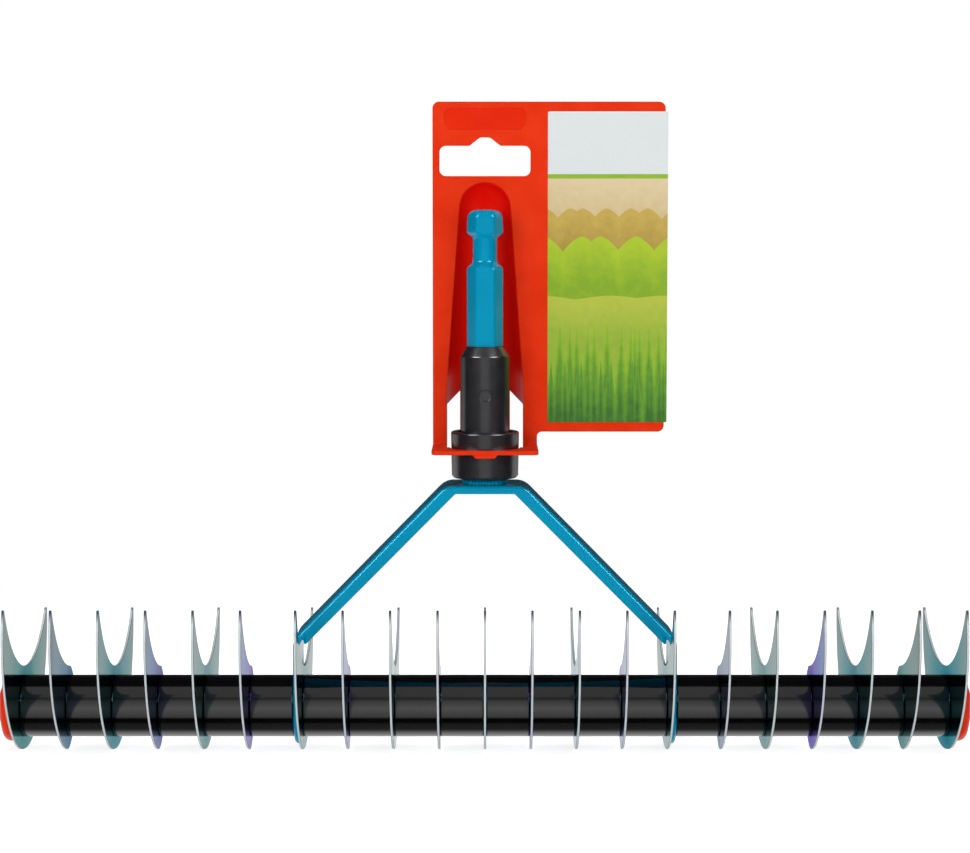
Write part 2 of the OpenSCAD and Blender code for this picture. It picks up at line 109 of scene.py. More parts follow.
def remap(tree, value, start, end, low=0, high=1, **settings):
    """A value moved from the range of start and end to that of low and high."""
    limits = {"Value": value, "From Min": start, "From Max": end, "To Min": low, "To Max": high}
    return add(tree, "ShaderNodeMapRange", limits, **settings).outputs["Result"]


def mix(tree, share, first, second, **settings):
    """A colour between two. The node counts its colour sockets from 6."""
    feeds = {0: share, 6: first, 7: second}
    return add(tree, "ShaderNodeMix", feeds, data_type="RGBA", **settings).outputs[2]


def noise(tree, place, size_mm, detail):
    """A noise with grains of a real size."""
    feeds = {"Vector": place, "Scale": 1 / (size_mm * MM), "Detail": detail}
    return add(tree, "ShaderNodeTexNoise", feeds).outputs["Fac"]


def tones(tree, share, stops):
    """A colour from a ramp of places and hex values."""
    node = add(tree, "ShaderNodeValToRGB", {"Fac": share})
    ramp = node.color_ramp.elements
    for i, (place, colour) in enumerate(stops):
        stop = ramp[i] if i < 2 else ramp.new(place)
        stop.position = place
        stop.color = srgb(colour)
    return node.outputs["Color"]


def new_finish(name):
    """An empty material: itself, its node tree and its shader."""
    finish = bpy.data.materials.new(name)
    finish.use_nodes = True
    tree = finish.node_tree
    tree.nodes.clear()
    shader = add(tree, "ShaderNodeBsdfPrincipled")
    add(tree, "ShaderNodeOutputMaterial", {"Surface": shader.outputs["BSDF"]})
    return finish, tree, shader


def mottle(tree, place, size_mm, dark, light, detail=3):
    """A noise, and the tone that it gives between two colours."""
    drift = noise(tree, place, size_mm, detail)
    return drift, tones(tree, drift, [(MOTTLE_DARK, dark), (MOTTLE_LIGHT, light)])


def give_skin(tree, shader, gloss_by, rough, bump_by, depth_mm):
    """Lets one noise set a shader's roughness between two limits, and one its bump."""
    bump = add(tree, "ShaderNodeBump", {"Height": bump_by, "Distance": depth_mm * MM})
    tree.links.new(remap(tree, gloss_by, 0, 1, *rough), shader.inputs["Roughness"])
    tree.links.new(bump.outputs["Normal"], shader.inputs["Normal"])


print("white is", [round(c, 2) for c in srgb("#FFFFFF")])

# %% [markdown]
# ## The camera
# The photograph looks at the rake from a little above, from about a metre and a half away. The two
# rows of horns show how strong the perspective is, so the distance sets the focal length.

# %% Camera
IMAGE_WIDTH = 970
FOCAL_PIXELS = 2430
CAMERA_PLACE = (0, -1.4793, 0.1323)
CAMERA_PITCH = 5
SENSOR_MM = 36

camera = bpy.data.objects.new("camera", bpy.data.cameras.new("camera"))
camera.data.sensor_width = SENSOR_MM
camera.data.lens = FOCAL_PIXELS / IMAGE_WIDTH * SENSOR_MM
camera.location = CAMERA_PLACE
camera.rotation_euler = (math.radians(90 - CAMERA_PITCH), 0, 0)
scene.collection.objects.link(camera)
scene.camera = camera
print(f"lens {camera.data.lens:.1f} mm")

# %% [markdown]
# ## Powder coated steel
# The yoke and connector are mild steel under a baked polyester powder. The film is glossy and even,
# with a faint orange peel where the melted grains ran together, and its colour drifts a little with
# its thickness. A noise of a few millimetres as bump gives the peel, a wide one the drift. The gloss
# takes on the blue of the film, so highlights stay cyan.

# %% Blue paint
PEEL_MM = 2.5
PEEL_DEPTH_MM = 0.004
DRIFT_MM = 30
PAINT_ROUGH = (0.1, 0.18)
PAINT_IOR = 1.5


def powder_coated_steel(name, dark, light, gloss_tint):
    """Glossy paint with orange peel, whose tone and gloss drift together."""
    finish, tree, shader = new_finish(name)
    place = add(tree, "ShaderNodeTexCoord").outputs["Object"]
    drift, tone = mottle(tree, place, DRIFT_MM, dark, light, detail=2)
    peel = noise(tree, place, PEEL_MM, detail=1)
    give_skin(tree, shader, drift, PAINT_ROUGH, peel, PEEL_DEPTH_MM)
    tree.links.new(tone, shader.inputs["Base Color"])
    shader.inputs["IOR"].default_value = PAINT_IOR
    shader.inputs["Specular Tint"].default_value = srgb(gloss_tint)
    return finish


blue_paint = powder_coated_steel("powder coated steel, blue", "#008BB2", "#0092B8", "#6FD0F2")
print("made", blue_paint.name)

# %% [markdown]
# ## Moulded plastics
# Sleeve and collar are glass filled polyamide from a sparked mould, which leaves a fine skin. The
# spacers are polypropylene from a polished mould, so they mirror the studio and show only faint flow
# lines. The pigment gathers along the flow, so a noise of some millimetres shifts tone and gloss
# together, and a finer one is the skin's bump.

# %% Plastics
FLOW_MM = 7


def moulded_plastic(name, dark, light, rough, skin_mm, skin_depth_mm, ior=1.5):
    """A moulding with flow lines and the skin of its mould."""
    finish, tree, shader = new_finish(name)
    place = add(tree, "ShaderNodeTexCoord").outputs["Object"]
    flow, tone = mottle(tree, place, FLOW_MM, dark, light)
    skin = noise(tree, place, skin_mm, detail=2)
    give_skin(tree, shader, flow, rough, skin, skin_depth_mm)
    tree.links.new(tone, shader.inputs["Base Color"])
    shader.inputs["IOR"].default_value = ior
    return finish


matt_black = moulded_plastic("polyamide, spark textured, black", "#1C1B1F", "#242226",
                             rough=(0.2, 0.28), skin_mm=0.9, skin_depth_mm=0.012, ior=1.65)
gloss_black = moulded_plastic("polypropylene, gloss moulded, black", "#050507", "#08080A",
                              rough=(0.05, 0.13), skin_mm=4, skin_depth_mm=0.004, ior=1.85)
white_plastic = moulded_plastic("acetal, moulded, white", "#DAD7CC", "#E8E5DC",
                                rough=(0.37, 0.45), skin_mm=2, skin_depth_mm=0.01)
print("made 3 plastics")

# %% [markdown]
# ## The red of tag and caps
# These are satin polypropylene too. The red is clear and bright on the open faces. The pocket of the
# tag is drawn well into the sheet and its walls face each other, so they lie in their own shade, and a
# darker, purer red is painted there as that shade. A mask finds it by its place behind the plate's
# front and by walls that look forwards. Fine scuffs from handling roughen the skin in streaks.

# %% Red plastic
CARD_LOW, CARD_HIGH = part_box("label_card")
PLATE_FRONT = CARD_HIGH.y
HOLLOW_FROM = PLATE_FRONT + 0.2 * MM
HOLLOW_FULL = PLATE_FRONT + MM
FORWARD_SLOPE = -0.08
STREAM_MM = 18
SCUFF_MM = 3
SCUFF_DEPTH_MM = 0.006
SCUFF_STRETCH = (1, 1, 0.25)
SATIN_ROUGH = (0.26, 0.42)
SATIN_IOR = 1.49


def satin_red(name, dark, light, pocket_shade, gloss_tint):
    """Scuffed satin red, with painted shade, a darker red, in the hollow of the tag."""
    finish, tree, shader = new_finish(name)
    place = add(tree, "ShaderNodeTexCoord").outputs
    tone = mottle(tree, place["Object"], STREAM_MM, dark, light)[1]
    spot = add(tree, "ShaderNodeSeparateXYZ", {"Vector": place["Object"]}).outputs
    facing = add(tree, "ShaderNodeSeparateXYZ", {"Vector": place["Normal"]}).outputs
    # Painted shade: walls behind the plate's front that look forwards get the darker red.
    behind = remap(tree, spot["Y"], HOLLOW_FROM, HOLLOW_FULL)
    forward = remap(tree, facing["Y"], 0, FORWARD_SLOPE)
    colour = mix(tree, calculate(tree, "MULTIPLY", behind, forward), tone, srgb(pocket_shade))
    streak = add(tree, "ShaderNodeMapping", {"Vector": place["Object"], "Scale": SCUFF_STRETCH})
    scuff = noise(tree, streak.outputs[0], SCUFF_MM, detail=4)
    give_skin(tree, shader, scuff, SATIN_ROUGH, scuff, SCUFF_DEPTH_MM)
    tree.links.new(colour, shader.inputs["Base Color"])
    shader.inputs["IOR"].default_value = SATIN_IOR
    shader.inputs["Specular Tint"].default_value = srgb(gloss_tint)
    return finish


# The fourth colour is the painted shade in the tag's pocket.
red_plastic = satin_red("polypropylene, satin moulded, red", "#E22E0E", "#EA3716", "#E40A03", "#FF6A45")
print("made", red_plastic.name)

# %% [markdown]
# ## Zinc plated steel
# The blades are stamped from sheet, plated with zinc and dipped in a clear passivate. The dip leaves
# a film so thin that it shows colours, teal on one blade and violet on the next. The colour is pale at
# the horns and deepens towards the axle: partly the film's own tint, and partly a painted reflection
# of the black tube, which the faces mirror near the axle. It comes from the distance to the axle, a
# slow noise and a number kept for each blade. The stamped rim is torn, so it is pale and scatters
# light, while the rolled faces mirror the room. The rim is found by its normal, which points away from
# the axle's direction. The band between rim and face is given a dark colour, and so are the tips of
# the horns.

# %% Zinc
FILM_MM = 34
FILM_DRIFT = 0.3
FILM_INSIDE, FILM_OUTSIDE = -0.12, 0.66
TIP_FROM, TIP_FULL = 0.615, 0.65
FACE_FROM, FACE_FULL = 0.5, 0.95
DARK_EDGE_FROM, DARK_EDGE_FULL = 0.2, 0.5
ROLLED_MM = 0.7
ROLLED_DEPTH_MM = 0.003
ROLLED_ROUGH = (0.06, 0.14)
TORN_ROUGH = (0.45, 0.65)
TORN_METAL = 0.15
AXLE_LOW, AXLE_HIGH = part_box("axle")
AXLE = (AXLE_LOW + AXLE_HIGH) / 2
SPACER_LOW, SPACER_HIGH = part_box("spacer_01")
TUBE_RADIUS = (SPACER_HIGH.y - SPACER_LOW.y) / 2
HORN_REACH = max(math.hypot(corner.co.y - AXLE.y, corner.co.z - AXLE.z)
                 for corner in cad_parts["blade_11"].data.vertices)


def plated_steel(name, first_film, second_film, rim, dark_edge):
    """Zinc under one of two films, with a pale torn rim, dark bands between rim and face, and dark horn
    tips.
    """
    finish, tree, shader = new_finish(name)
    place = add(tree, "ShaderNodeTexCoord").outputs
    batch = add(tree, "ShaderNodeAttribute", attribute_name="batch").outputs["Fac"]
    drift = noise(tree, place["Object"], FILM_MM, detail=2)
    arm = add(tree, "ShaderNodeVectorMath", {0: place["Object"], 1: AXLE}, operation="SUBTRACT")
    spoke = add(tree, "ShaderNodeVectorMath", {0: arm.outputs[0], 1: (0, 1, 1)}, operation="MULTIPLY")
    radius = add(tree, "ShaderNodeVectorMath", {0: spoke.outputs[0]}, operation="LENGTH").outputs["Value"]
    # Towards the axle the tint darkens: partly the film, partly painted reflection of the black tube.
    outward = remap(tree, radius, TUBE_RADIUS, HORN_REACH, FILM_INSIDE, FILM_OUTSIDE)
    film_and_reflection = calculate(tree, "MULTIPLY_ADD", drift, FILM_DRIFT, outward)
    tint = mix(tree, batch, tones(tree, film_and_reflection, first_film), tones(tree, film_and_reflection, second_film))
    facing = add(tree, "ShaderNodeSeparateXYZ", {"Vector": place["Normal"]}).outputs
    aside = calculate(tree, "ABSOLUTE", facing["X"])
    face = remap(tree, aside, FACE_FROM, FACE_FULL)
    # A darker band between rim and face, and darker horn tips.
    tip = tones(tree, outward, [(TIP_FROM, rim), (TIP_FULL, dark_edge)])
    edge = mix(tree, remap(tree, aside, DARK_EDGE_FROM, DARK_EDGE_FULL), tip, srgb(dark_edge))
    colour = mix(tree, face, edge, tint)
    rolled = noise(tree, place["Object"], ROLLED_MM, detail=2)
    torn = remap(tree, rolled, 0, 1, *TORN_ROUGH)
    sheen = remap(tree, rolled, 0, 1, *ROLLED_ROUGH)
    rough = add(tree, "ShaderNodeMix", {"Factor": face, "A": torn, "B": sheen})
    bump = add(tree, "ShaderNodeBump", {"Height": rolled, "Distance": ROLLED_DEPTH_MM * MM})
    tree.links.new(colour, shader.inputs["Base Color"])
    tree.links.new(colour, shader.inputs["Specular Tint"])
    tree.links.new(rough.outputs["Result"], shader.inputs["Roughness"])
    tree.links.new(remap(tree, face, 0, 1, TORN_METAL, 1), shader.inputs["Metallic"])
    tree.links.new(bump.outputs["Normal"], shader.inputs["Normal"])
    return finish


# The first stops, the darkest, lie at the axle: the film's tint with painted reflection of the tube.
teal_film = [(0.0, "#3A88A4"), (0.18, "#5AA3B6"), (0.42, "#84B0BA"), (0.8, "#A6B7BA")]
grey_film = [(0.0, "#7FA2A6"), (0.18, "#9DB7B5"), (0.42, "#ADBCB9"), (0.8, "#B9C0BE")]
violet_film = [(0.0, "#686BB5"), (0.18, "#A08DC6"), (0.42, "#98A4D0"), (0.8, "#B0B9C2")]
# The last colour of each is the dark one at the edge bands and horn tips.
teal_zinc = plated_steel("zinc plated steel, teal passivate", teal_film, grey_film, "#C6CFD0", "#3A474C")
violet_zinc = plated_steel(
    "zinc plated steel, violet passivate", violet_film, grey_film, "#C6CBD0", "#3C4050")
print("made 2 platings")

# %% [markdown]
# ## Rolled edges
# No real edge is a knife's. Paint gathers on it, a mould rounds it and a press rolls it, and the thin
# highlight there tells the eye what the thing is made of. So each rigid solid is copied, its flat
# stretches are joined into single faces, and a bevel rolls what is still sharp. Weighted normals keep
# the wide faces flat. The yoke's bar is turned down along its sides in a broad bend, so the edges round
# its outer face get the full width of the bevel and the other sharp ones a share of it.

# %% Edge roller
SEAM_MM = 0.002
FLAT_DEGREES = 0.6
SHARP_DEGREES = 28
# An outer face of the bar looks up or outwards at least this much, and forwards at most that much.
OUTWARD_LEAST = 0.5
FORWARD_MOST = 0.1
HOLE_RADIUS = 0.8 * TUBE_RADIUS


def plain_mesh(piece):
    """Turns a piece's modifiers into a plain mesh."""
    scene_now = bpy.context.evaluated_depsgraph_get()
    mesh = bpy.data.meshes.new_from_object(piece.evaluated_get(scene_now), depsgraph=scene_now)
    piece.modifiers.clear()
    piece.data = mesh
    return piece


def weigh_edges(shape, share):
    """Weighs sharp edges: fully round a bent bar's outer face, elsewhere, as at its holes, a share."""
    weight = shape.edges.layers.float.new("bevel_weight_edge")
    for edge in shape.edges:
        if len(edge.link_faces) != 2 or edge.calc_face_angle() < math.radians(SHARP_DEGREES):
            continue
        spot = (edge.verts[0].co + edge.verts[1].co) / 2
        at_hole = math.hypot(spot.y - AXLE.y, spot.z - AXLE.z) < HOLE_RADIUS
        outer = any(face.normal.z + math.copysign(1, spot.x) * face.normal.x > OUTWARD_LEAST
                    for face in edge.link_faces if abs(face.normal.y) < FORWARD_MOST)
        edge[weight] = 1.0 if outer and not at_hole else share


def rolled_copy(node, name, radius_mm, segments=2, broad_mm=0):
    """A copy of a solid with its sharp edges rolled to a radius."""
    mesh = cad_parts[node].data.copy()
    shape = bmesh.new()
    shape.from_mesh(mesh)
    bmesh.ops.remove_doubles(shape, verts=shape.verts, dist=SEAM_MM * MM)
    bmesh.ops.dissolve_limit(
        shape, angle_limit=math.radians(FLAT_DEGREES), verts=shape.verts, edges=shape.edges)
    if broad_mm:
        weigh_edges(shape, radius_mm / broad_mm)
    shape.to_mesh(mesh)
    shape.free()
    mesh.shade_smooth()
    piece = bpy.data.objects.new(name, mesh)
    scene.collection.objects.link(piece)
    bevel = piece.modifiers.new("rolled edges", "BEVEL")
    bevel.width = (broad_mm or radius_mm) * MM
    bevel.segments = segments
    bevel.limit_method = "WEIGHT" if broad_mm else "ANGLE"
    bevel.angle_limit = math.radians(SHARP_DEGREES)
    bevel.use_clamp_overlap = False
    piece.modifiers.new("flat faces", "WEIGHTED_NORMAL").keep_sharp = False
    return plain_mesh(piece)


def finish_piece(piece, finish, body, nodes):
    """Gives a piece its finish and the solids that it stands for."""
    piece.data.materials.clear()
    piece.data.materials.append(finish)
    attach(piece, body)
    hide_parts(*nodes)
    print(f"{piece.name}: {len(piece.data.polygons)} faces")


# %% [markdown]
# ## The rigid pieces
# Each line gives a solid, the radius that its edges have on the real thing, and its finish. Mouldings
# have about half a millimetre. So have the cut edges of the yoke's flat bar, and the edges round its
# outer face have the bend of the turned-down sides.

# %% Frame, caps and tag
BAR_EDGE_MM = 0.5
BAR_BEND_MM = 2.4
BAR_SEGMENTS = 6
RIGID = [
    ("stop_collar", "moulded_collar", 0.4, matt_black, "frame", "matt_black_plastic"),
    ("spigot_sleeve", "moulded_sleeve", 0.4, matt_black, "frame", "matt_black_plastic"),
    ("end_cap_left", "moulded_cap_left", 0.5, red_plastic, "head", "red_plastic"),
    ("end_cap_right", "moulded_cap_right", 0.5, red_plastic, "head", "red_plastic"),
    ("hang_tag", "moulded_tag", 0.4, red_plastic, "tag", "red_plastic"),
]
for node, name, radius_mm, finish, body, slot in RIGID:
    finish_piece(rolled_copy(node, name, radius_mm), finish, body, [node])
finish_piece(rolled_copy("yoke", "painted_yoke", BAR_EDGE_MM, BAR_SEGMENTS, BAR_BEND_MM), blue_paint,
             "frame", ["yoke"])

# %% [markdown]
# ## The connector
# The connector is a hexagon bar with a turned neck and a rounded knob. Its flats run out into the
# turned parts in curves that a bevel tears open, so its paint is drawn as a skin instead. Rays from
# outside towards the axis find the steel on rows of a fine grid, and towards one point in the knob for
# the top. A few smoothing passes then round the edges, as thick paint does, with more of them on the
# top of the knob, which is turned nearly round.

# %% Connector skin
COLUMNS = 144
ROW_MM = 0.6
KNOB_ROWS = 26
PAINT_PASSES = 6
KNOB_MM = 10
KNOB_PASSES = 14
SMOOTHING = 0.5


def drawn_skin(node, name):
    """A smooth skin over an upright bar."""
    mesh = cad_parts[node].data
    steel = BVHTree.FromPolygons(
        [corner.co for corner in mesh.vertices], [face.vertices for face in mesh.polygons])
    low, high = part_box(node)
    reach = high.x - low.x
    knob = high.z - reach / 2
    rows = round((knob - low.z) / (ROW_MM * MM))
    aims = [(low.z + (knob - low.z) * (i + 0.5) / rows, 0) for i in range(rows)]
    aims += [(knob, math.pi / 2 * i / KNOB_ROWS) for i in range(KNOB_ROWS)]
    shape = bmesh.new()
    rings = []
    for height, rise in aims:
        ring = []
        for j in range(COLUMNS):
            turn = 2 * math.pi * j / COLUMNS
            level = math.cos(rise)
            out = Vector((math.cos(turn) * level, math.sin(turn) * level, math.sin(rise)))
            start = Vector((0, 0, height)) + out * reach
            spot = steel.ray_cast(start, -out, reach)[0]
            if spot is None:
                spot = Vector((rings[-1][j].co.x, rings[-1][j].co.y, height))
            ring.append(shape.verts.new(spot))
        rings.append(ring)
    tip = shape.verts.new((0, 0, high.z))
    for lower, upper in zip(rings, rings[1:]):
        for j in range(COLUMNS):
            k = (j + 1) % COLUMNS
            shape.faces.new((lower[j], lower[k], upper[k], upper[j]))
    for j in range(COLUMNS):
        shape.faces.new((rings[-1][j], rings[-1][(j + 1) % COLUMNS], tip))
    shape.faces.new(list(reversed(rings[0])))
    loose = [corner for ring in rings[1:] for corner in ring]
    turned = [corner for corner in loose if corner.co.z > high.z - KNOB_MM * MM]
    for verts, passes in ((loose, PAINT_PASSES), (turned, KNOB_PASSES)):
        for _ in range(passes):
            bmesh.ops.smooth_vert(
                shape, verts=verts, factor=SMOOTHING, use_axis_x=True, use_axis_y=True, use_axis_z=True)
    skin = bpy.data.meshes.new(name)
    shape.to_mesh(skin)
    shape.free()
    skin.shade_smooth()
    piece = bpy.data.objects.new(name, skin)
    scene.collection.objects.link(piece)
    return piece


finish_piece(drawn_skin("connector_pin", "painted_connector"), blue_paint, "frame",
             ["connector_pin"])

# %% [markdown]
# ## The weld
# A bead of weld runs round the foot of the connector. A welder lays it as a row of small melted pools,
# each over half of the last, and the paint keeps that ripple. A node tree follows a rounded hexagon,
# sets a pool on each step of it, melts the pools into one skin and cuts it flat on the bar.

# %% Weld bead
WELD_LOW, WELD_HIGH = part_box("weld_bead")
PIN_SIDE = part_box("connector_pin")[1].x
POOL_WIDTH = WELD_HIGH.x - PIN_SIDE
POOL_RISE = 0.9 * (WELD_HIGH.z - WELD_LOW.z)
MELT_BAND = 2 * MM
WELD = {"Path Radius": PIN_SIDE, "Corner": 4 * MM, "Foot": WELD_LOW.z, "Step": 1.7 * MM,
        "Pool Width": POOL_WIDTH, "Pool Length": 1.9 * MM, "Fineness": 0.35 * MM,
        "Flatness": POOL_RISE / POOL_WIDTH, "Finish": blue_paint}


def weld_tree(name):
    """Node tree of a row of pools, melted together along a rounded hexagon."""
    tree = bpy.data.node_groups.new(name, "GeometryNodeTree")
    sizes = {}
    for title in WELD:
        kind = "NodeSocketMaterial" if title == "Finish" else "NodeSocketFloat"
        sizes[title] = tree.interface.new_socket(title, in_out="INPUT", socket_type=kind).identifier
    tree.interface.new_socket("Bead", in_out="OUTPUT", socket_type="NodeSocketGeometry")
    given = add(tree, "NodeGroupInput").outputs
    hexagon = add(tree, "GeometryNodeCurvePrimitiveCircle", {
        "Resolution": 6, "Radius": given["Path Radius"]})
    track = add(tree, "GeometryNodeFilletCurve", {
        "Curve": hexagon.outputs["Curve"], "Count": 6, "Radius": given["Corner"]}, mode="POLY")
    steps = add(tree, "GeometryNodeCurveToPoints", {
        "Curve": track.outputs[0], "Length": given["Step"]}, mode="LENGTH")
    size = add(tree, "ShaderNodeCombineXYZ", {
        "X": given["Pool Width"], "Y": given["Pool Width"], "Z": given["Pool Length"]})
    pool = add(tree, "GeometryNodeMeshUVSphere", {"Segments": 24, "Rings": 16, "Radius": 1.0})
    pools = add(tree, "GeometryNodeInstanceOnPoints", {
        "Points": steps.outputs["Points"], "Instance": pool.outputs["Mesh"],
        "Rotation": steps.outputs["Rotation"], "Scale": size.outputs[0]})
    loose = add(tree, "GeometryNodeRealizeInstances", {"Geometry": pools.outputs[0]})
    melt = add(tree, "GeometryNodeMeshToVolume", {
        "Mesh": loose.outputs[0], "Voxel Size": given["Fineness"],
        "Interior Band Width": MELT_BAND}, resolution_mode="VOXEL_SIZE")
    skin = add(tree, "GeometryNodeVolumeToMesh", {"Volume": melt.outputs[0]}, resolution_mode="GRID")
    spot = add(tree, "ShaderNodeSeparateXYZ", {0: add(tree, "GeometryNodeInputPosition").outputs[0]})
    above = calculate(tree, "MAXIMUM", spot.outputs["Z"], 0)
    height = calculate(tree, "MULTIPLY_ADD", above, given["Flatness"], given["Foot"])
    flat = add(tree, "ShaderNodeCombineXYZ", {
        "X": spot.outputs["X"], "Y": spot.outputs["Y"], "Z": height})
    cut = add(tree, "GeometryNodeSetPosition", {
        "Geometry": skin.outputs[0], "Position": flat.outputs[0]})
    smooth = add(tree, "GeometryNodeSetShadeSmooth", {"Geometry": cut.outputs[0]})
    real = add(tree, "GeometryNodeRealizeInstances", {"Geometry": smooth.outputs[0]})
    dressed = add(tree, "GeometryNodeSetMaterial", {
        "Geometry": real.outputs[0], "Material": given["Finish"]})
    add(tree, "NodeGroupOutput", {"Bead": dressed.outputs[0]})
    return tree, sizes


bead = bpy.data.objects.new("weld_ripple", bpy.data.meshes.new("weld_ripple"))
scene.collection.objects.link(bead)
tree, sizes = weld_tree("weld round the connector")
ripple = bead.modifiers.new("ripple", "NODES")
ripple.node_group = tree
for title, value in WELD.items():
    ripple[sizes[title]] = value
finish_piece(plain_mesh(bead), blue_paint, "frame", ["weld_bead"])

# %% [markdown]
# ## The label
# A card of coated board is clipped into the tag. It carries a plain garden print of its own: a pale
# bare head, a thin green rule, a sand coloured sky, two rows of hedges, a lawn and two rows of grass.
# Each layer covers what lies above its edge, so the layers are mixed from back to front. The edge is
# a row of bumps round random points, wide and round for a hedge, narrow and pointed for grass. The
# ink is light along that edge and darkens below it, with a mottle like leaves.

# %% Printed card
LAYERS = [
    # foot, bump height, bumps across the card, bump power, dark ink, light ink
    (0.800, 0.00, 1, 1.0, "#6FA01E", "#8DB524"),
    (0.786, 0.00, 1, 1.0, "#CDB684", "#DCC99C"),
    (0.630, 0.06, 6, 1.6, "#A58A33", "#C4A64B"),
    (0.500, 0.10, 4, 1.6, "#7FA80E", "#A9C41C"),
    (0.380, 0.03, 2, 1.6, "#8FAF2A", "#B2BE3A"),
    (0.120, 0.20, 15, 0.7, "#4E8519", "#86B41A"),
    (0.050, 0.16, 21, 0.7, "#2F6A16", "#5F9A1B"),
]
INK_MM = 5
INK_MOTTLE = 0.6
INK_DARK, INK_LIGHT = 0.25, 0.95
SHADE_DEPTH = 0.14
SHADE_LIGHT = 0.7
LAYER_SHIFT = 3.7
PRESS_BLUR = 0.001
FIBRE_MM = 0.8
FIBRE_DEPTH_MM = 0.004
CARD_ROUGH = (0.3, 0.42)
CARD_IOR = 1.4


def coated_print(name, bare):
    """Coated board with layers of ink over its bare colour."""
    finish, tree, shader = new_finish(name)
    place = add(tree, "ShaderNodeTexCoord").outputs["Object"]
    spot = add(tree, "ShaderNodeSeparateXYZ", {"Vector": place}).outputs
    across = remap(tree, spot["X"], CARD_LOW.x, CARD_HIGH.x)
    up = remap(tree, spot["Z"], CARD_LOW.z, CARD_HIGH.z)
    blots = noise(tree, place, INK_MM, detail=3)
    ink = srgb(bare)
    for i, (foot, bump, count, power, dark, light) in enumerate(LAYERS):
        shift = calculate(tree, "ADD", across, LAYER_SHIFT * i)
        cells = add(tree, "ShaderNodeTexVoronoi", {"W": shift, "Scale": count}, voronoi_dimensions="1D")
        slope = calculate(tree, "POWER", cells.outputs["Distance"], power)
        edge = calculate(tree, "MULTIPLY_ADD", slope, -bump, foot + bump)
        depth = calculate(tree, "SUBTRACT", edge, up)
        shade = remap(tree, depth, 0, SHADE_DEPTH, SHADE_LIGHT, 0)
        leaves = calculate(tree, "MULTIPLY_ADD", blots, INK_MOTTLE, shade)
        tone = tones(tree, leaves, [(INK_DARK, dark), (INK_LIGHT, light)])
        ink = mix(tree, remap(tree, depth, -PRESS_BLUR, PRESS_BLUR), ink, tone)
    fibre = noise(tree, place, FIBRE_MM, detail=2)
    give_skin(tree, shader, fibre, CARD_ROUGH, fibre, FIBRE_DEPTH_MM)
    tree.links.new(ink, shader.inputs["Base Color"])
    shader.inputs["IOR"].default_value = CARD_IOR
    return finish


card_print = coated_print("card, coated and printed", "#DCE1E2")
print(f"printed {len(LAYERS)} layers")

# %% [markdown]
# ## Solids that stay
# The axle with its nuts and washers, the bushes, the sleeve's pin and the card are right as they are,
# so they only get their finishes.

# %% Finishes on solids
KEPT = {"axle": teal_zinc, "end_washers": teal_zinc, "end_nuts": teal_zinc, "sleeve_pin": matt_black,
        "pivot_bush_left": white_plastic, "pivot_bush_right": white_plastic, "label_card": card_print}
for node, finish in KEPT.items():
    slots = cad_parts[node].data.materials
    slots.clear()
    slots.append(finish)
print(f"finished {len(KEPT)} solids")

# %% [markdown]
# ## The keyed stack
# Blades and spacers repeat along the axle, one pitch apart, and the two pivot bushes push everything
# outside them further out. That is a rule, so a node tree sets the places: a line of points, the push
# beyond the ears, a copy of one blank on each point, and a random number for each copy, from a fixed
# seed, that the plating reads.

# %% Stack tree
def stack_tree(name):
    """Node tree of copies along X, with those beyond the ears pushed out by the bushes."""
    tree = bpy.data.node_groups.new(name, "GeometryNodeTree")
    sizes = {}
    for title, kind in (("Blank", "NodeSocketGeometry"), ("Count", "NodeSocketInt"),
                        ("First Place", "NodeSocketFloat"), ("Pitch", "NodeSocketFloat"),
                        ("Ear Place", "NodeSocketFloat"), ("Bush Length", "NodeSocketFloat"),
                        ("Seed", "NodeSocketInt"), ("Finish", "NodeSocketMaterial")):
        sizes[title] = tree.interface.new_socket(title, in_out="INPUT", socket_type=kind).identifier
    tree.interface.new_socket("Stack", in_out="OUTPUT", socket_type="NodeSocketGeometry")
    given = add(tree, "NodeGroupInput").outputs
    first = add(tree, "ShaderNodeCombineXYZ", {"X": given["First Place"]})
    step = add(tree, "ShaderNodeCombineXYZ", {"X": given["Pitch"]})
    line = add(tree, "GeometryNodeMeshLine", {
        "Count": given["Count"], "Start Location": first.outputs[0], "Offset": step.outputs[0]})
    spot = add(tree, "ShaderNodeSeparateXYZ", {0: add(tree, "GeometryNodeInputPosition").outputs[0]})
    along = spot.outputs["X"]
    outside = calculate(tree, "GREATER_THAN", calculate(tree, "ABSOLUTE", along), given["Ear Place"])
    reach = calculate(tree, "MULTIPLY", calculate(tree, "SIGN", along), given["Bush Length"])
    push = calculate(tree, "MULTIPLY", reach, outside)
    offset = add(tree, "ShaderNodeCombineXYZ", {"X": push})
    places = add(tree, "GeometryNodeSetPosition", {
        "Geometry": line.outputs[0], "Offset": offset.outputs[0]})
    copies = add(tree, "GeometryNodeInstanceOnPoints", {
        "Points": places.outputs[0], "Instance": given["Blank"]})
    chance = add(tree, "FunctionNodeRandomValue", {"Seed": given["Seed"]})
    marked = add(tree, "GeometryNodeStoreNamedAttribute", {
        "Geometry": copies.outputs[0], "Name": "batch", "Value": chance.outputs[1]}, domain="INSTANCE")
    real = add(tree, "GeometryNodeRealizeInstances", {"Geometry": marked.outputs[0]})
    dressed = add(tree, "GeometryNodeSetMaterial", {
        "Geometry": real.outputs[0], "Material": given["Finish"]})
    add(tree, "NodeGroupOutput", {"Stack": dressed.outputs[0]})
    return tree, sizes


def middle(node):
    """The middle of a solid along the axle."""
    low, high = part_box(node)
    return (low.x + high.x) / 2


